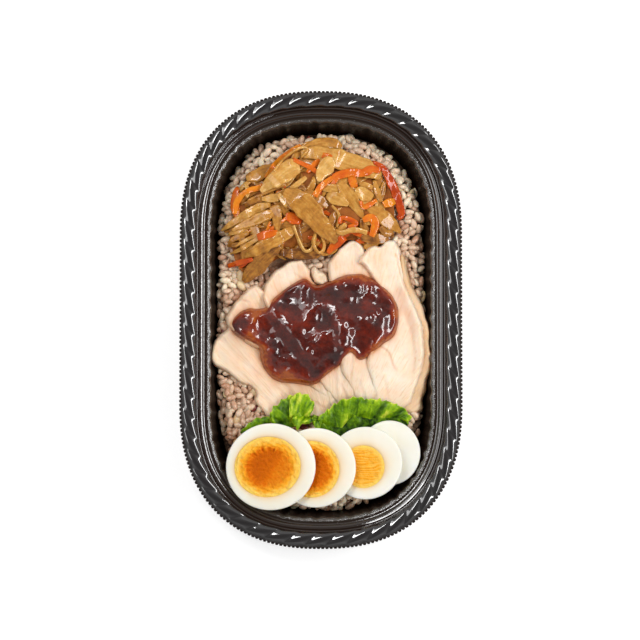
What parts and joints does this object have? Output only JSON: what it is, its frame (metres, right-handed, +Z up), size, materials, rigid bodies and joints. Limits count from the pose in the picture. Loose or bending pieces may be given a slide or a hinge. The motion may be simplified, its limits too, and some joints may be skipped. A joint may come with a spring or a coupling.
{
  "type": "bento box meal",
  "caption": "Open black takeaway tray with a rope-moulded rim, holding mixed-grain rice, burdock and carrot strips, sliced chicken with thick sauce, lettuce and boiled egg slices.",
  "frame": {"origin": "middle of the tray's flat base, on the surface it stands on", "axes": "+Z up, +Y along the tray from the egg end to the burdock end, +X across the tray to the right when seen from the egg end"},
  "size_m": [0.141, 0.2286, 0.0378],
  "materials": {
    "tray": "glossy black moulded plastic",
    "rice": null,
    "burdock_carrot": null,
    "chicken": null,
    "sauce": null,
    "lettuce": null,
    "egg_white": null,
    "egg_yolk": null
  },
  "bodies": {
    "root": {"tray": "tray", "rice": "rice", "burdock_carrot_heap": "burdock_carrot", "chicken_slice_1": "chicken", "chicken_slice_2": "chicken", "chicken_slice_3": "chicken", "chicken_slice_4": "chicken", "chicken_slice_5": "chicken", "chicken_slice_6": "chicken", "chicken_shred": "chicken", "sauce": "sauce", "lettuce_left": "lettuce", "lettuce_middle": "lettuce", "lettuce_right": "lettuce", "egg_white_1": "egg_white", "egg_white_2": "egg_white", "egg_white_3": "egg_white", "egg_white_4": "egg_white", "egg_yolk_1": "egg_yolk", "egg_yolk_2": "egg_yolk", "egg_yolk_3": "egg_yolk"}
  },
  "joints": []
}
